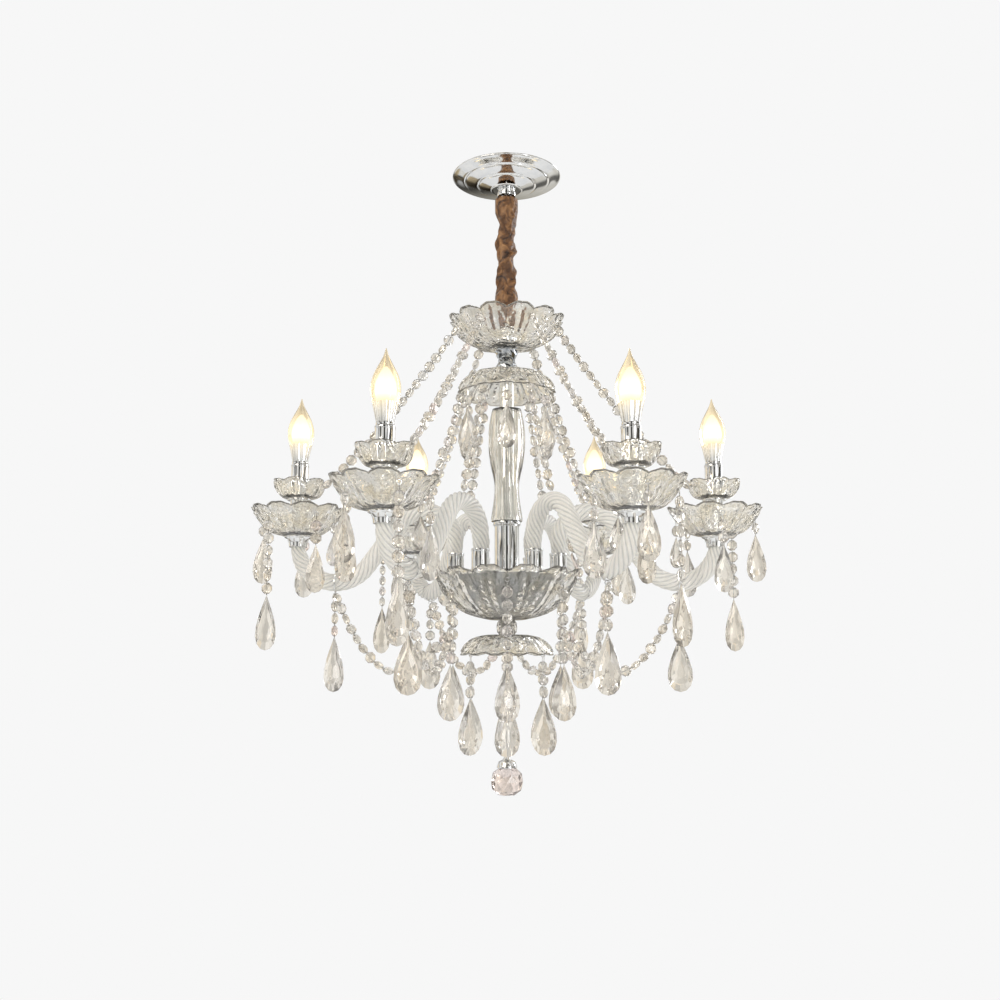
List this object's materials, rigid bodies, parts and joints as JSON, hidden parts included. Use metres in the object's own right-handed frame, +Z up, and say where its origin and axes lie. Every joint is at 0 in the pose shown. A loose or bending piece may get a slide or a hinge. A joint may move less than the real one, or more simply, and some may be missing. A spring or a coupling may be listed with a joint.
{
  "type": "crystal chandelier",
  "caption": "Hanging crystal chandelier: rope-twist glass swan arms with petal pans, cups and candle lamps, petal bowls on a glass column, bead strings and almond drops, on a sleeved chain.",
  "frame": {"origin": "centre of the canopy's rim on the ceiling plane", "axes": "+Z up along the hanging axis, +X along the first arm and along the ceiling bracket, the picture looks along +Y"},
  "size_m": [0.654, 0.582, 0.806],
  "materials": {
    "chrome": "polished",
    "zinc_plated_steel": "zinc plated",
    "terminal_plastic": "moulded",
    "socket_plastic": "moulded",
    "sleeve_fabric": "gathered satin weave",
    "pressed_glass": "pressed, fire polished",
    "rope_glass": "drawn and twisted",
    "cut_crystal": "cut facets",
    "lamp": "clear flame tip over a metal body"
  },
  "bodies": {
    "ceiling": {"ceiling_bracket": "zinc_plated_steel", "canopy_nipple": "zinc_plated_steel", "nipple_nuts": "zinc_plated_steel", "canopy": "chrome", "canopy_loop": "chrome", "terminal_block": "terminal_plastic"},
    "upper_link": {"chain_link_top": "chrome"},
    "chain": {"chain_links": "chrome", "chain_sleeve": "sleeve_fabric"},
    "chandelier": {"frame_loop": "chrome", "column_liner": "chrome", "lower_column": "chrome", "hub_plate": "chrome", "hub_bowl": "chrome", "arm_ferrules": "chrome", "arm_end_caps": "chrome", "candle_tubes": "chrome", "finial_rod": "chrome", "centre_rod": "zinc_plated_steel", "lampholders": "socket_plastic", "top_bowl": "pressed_glass", "upper_dish": "pressed_glass", "main_bowl": "pressed_glass", "lower_dish": "pressed_glass", "glass_column": "pressed_glass", "candle_cups": "pressed_glass", "drip_pan_1": "pressed_glass", "drip_pan_2": "pressed_glass", "drip_pan_3": "pressed_glass", "drip_pan_4": "pressed_glass", "drip_pan_5": "pressed_glass", "drip_pan_6": "pressed_glass", "arm_1": "rope_glass", "arm_2": "rope_glass", "arm_3": "rope_glass", "arm_4": "rope_glass", "arm_5": "rope_glass", "arm_6": "rope_glass", "neck_knob": "cut_crystal", "neck_ball": "cut_crystal", "crystal_ball": "cut_crystal", "bead_strands": "cut_crystal", "garlands": "cut_crystal", "pan_drops": "cut_crystal", "column_drops": "cut_crystal", "bowl_strings": "cut_crystal", "lower_dish_drops": "cut_crystal", "bow_drops": "cut_crystal"},
    "lamp_1": {"bulb_1": "lamp"},
    "lamp_2": {"bulb_2": "lamp"},
    "lamp_3": {"bulb_3": "lamp"},
    "lamp_4": {"bulb_4": "lamp"},
    "lamp_5": {"bulb_5": "lamp"},
    "lamp_6": {"bulb_6": "lamp"},
    "drop_1": {"outer_drop_1": "cut_crystal"},
    "drop_2": {"outer_drop_2": "cut_crystal"},
    "drop_3": {"outer_drop_3": "cut_crystal"},
    "drop_4": {"outer_drop_4": "cut_crystal"},
    "drop_5": {"outer_drop_5": "cut_crystal"},
    "drop_6": {"outer_drop_6": "cut_crystal"}
  },
  "joints": [
    {"name": "upper_link_swing", "type": "hinge", "parent": "ceiling", "child": "upper_link", "pos_m": [0, 0, -0.0387], "axis": [1, 0, 0], "range_deg": [-8, 8]},
    {"name": "chain_swing", "type": "hinge", "parent": "upper_link", "child": "chain", "pos_m": [0, 0, -0.06215], "axis": [0, 1, 0], "range_deg": [-8, 8]},
    {"name": "chandelier_turn", "type": "hinge", "parent": "chain", "child": "chandelier", "pos_m": [0, 0, -0.20435], "axis": [0, 0, 1], "range_deg": [-30, 30]},
    {"name": "lamp_1_unscrew", "type": "hinge", "parent": "chandelier", "child": "lamp_1", "pos_m": [0.266, 0, -0.3935], "axis": [0, 0, 1], "range_deg": [0, 360]},
    {"name": "lamp_2_unscrew", "type": "hinge", "parent": "chandelier", "child": "lamp_2", "pos_m": [0.133, 0.23036, -0.3935], "axis": [0, 0, 1], "range_deg": [0, 360]},
    {"name": "lamp_3_unscrew", "type": "hinge", "parent": "chandelier", "child": "lamp_3", "pos_m": [-0.133, 0.23036, -0.3935], "axis": [0, 0, 1], "range_deg": [0, 360]},
    {"name": "lamp_4_unscrew", "type": "hinge", "parent": "chandelier", "child": "lamp_4", "pos_m": [-0.266, 0, -0.3935], "axis": [0, 0, 1], "range_deg": [0, 360]},
    {"name": "lamp_5_unscrew", "type": "hinge", "parent": "chandelier", "child": "lamp_5", "pos_m": [-0.133, -0.23036, -0.3935], "axis": [0, 0, 1], "range_deg": [0, 360]},
    {"name": "lamp_6_unscrew", "type": "hinge", "parent": "chandelier", "child": "lamp_6", "pos_m": [0.133, -0.23036, -0.3935], "axis": [0, 0, 1], "range_deg": [0, 360]},
    {"name": "drop_1_swing", "type": "hinge", "parent": "chandelier", "child": "drop_1", "pos_m": [0.31355, -0.01545, -0.46042], "axis": [-0.309, -0.9511, 0], "range_deg": [-15, 25]},
    {"name": "drop_2_swing", "type": "hinge", "parent": "chandelier", "child": "drop_2", "pos_m": [0.17016, 0.26382, -0.46042], "axis": [0.6691, -0.7431, 0], "range_deg": [-15, 25]},
    {"name": "drop_3_swing", "type": "hinge", "parent": "chandelier", "child": "drop_3", "pos_m": [-0.1434, 0.27927, -0.46042], "axis": [0.9781, 0.2079, 0], "range_deg": [-15, 25]},
    {"name": "drop_4_swing", "type": "hinge", "parent": "chandelier", "child": "drop_4", "pos_m": [-0.31355, 0.01545, -0.46042], "axis": [0.309, 0.9511, 0], "range_deg": [-15, 25]},
    {"name": "drop_5_swing", "type": "hinge", "parent": "chandelier", "child": "drop_5", "pos_m": [-0.17016, -0.26382, -0.46042], "axis": [-0.6691, 0.7431, 0], "range_deg": [-15, 25]},
    {"name": "drop_6_swing", "type": "hinge", "parent": "chandelier", "child": "drop_6", "pos_m": [0.1434, -0.27927, -0.46042], "axis": [-0.9781, -0.2079, 0], "range_deg": [-15, 25]}
  ]
}
